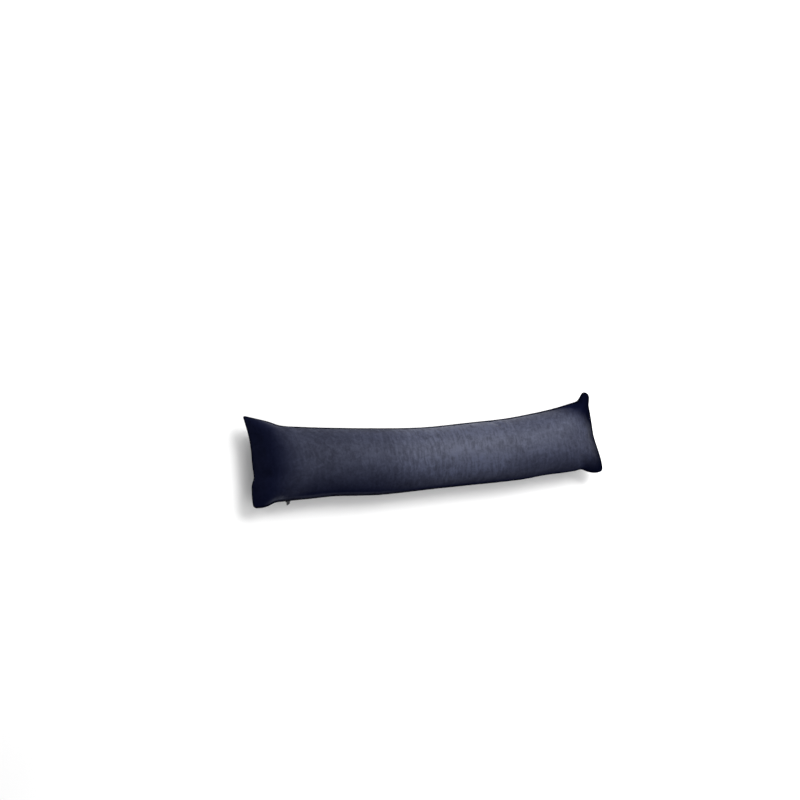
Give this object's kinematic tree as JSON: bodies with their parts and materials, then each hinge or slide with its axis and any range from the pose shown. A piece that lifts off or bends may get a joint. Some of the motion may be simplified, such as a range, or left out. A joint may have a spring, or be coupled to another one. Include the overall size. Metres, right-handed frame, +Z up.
{
  "type": "draught excluder",
  "caption": "Long narrow filled velvet cushion that lies against the foot of a door to stop draughts, with flat ears at its corners and a zip in one long seam.",
  "frame": {"origin": "centre of the bounding box at the underside, on the surface that the cushion lies on", "axes": "+X along the length towards the end with the narrow folded ear, +Y across the width away from the zip seam, +Z up out of the front panel"},
  "size_m": [0.8904, 0.2186, 0.1173],
  "materials": {
    "velvet": "dark navy short-pile velvet, brushed across the width",
    "zip_coil": "dark navy nylon coil on woven tape",
    "zip_metal": "dark lacquered die-cast metal, satin"
  },
  "bodies": {
    "root": {"cushion": "velvet", "zip_chain": "zip_coil", "zip_slider": "zip_metal", "zip_pull": "zip_metal"}
  },
  "joints": []
}
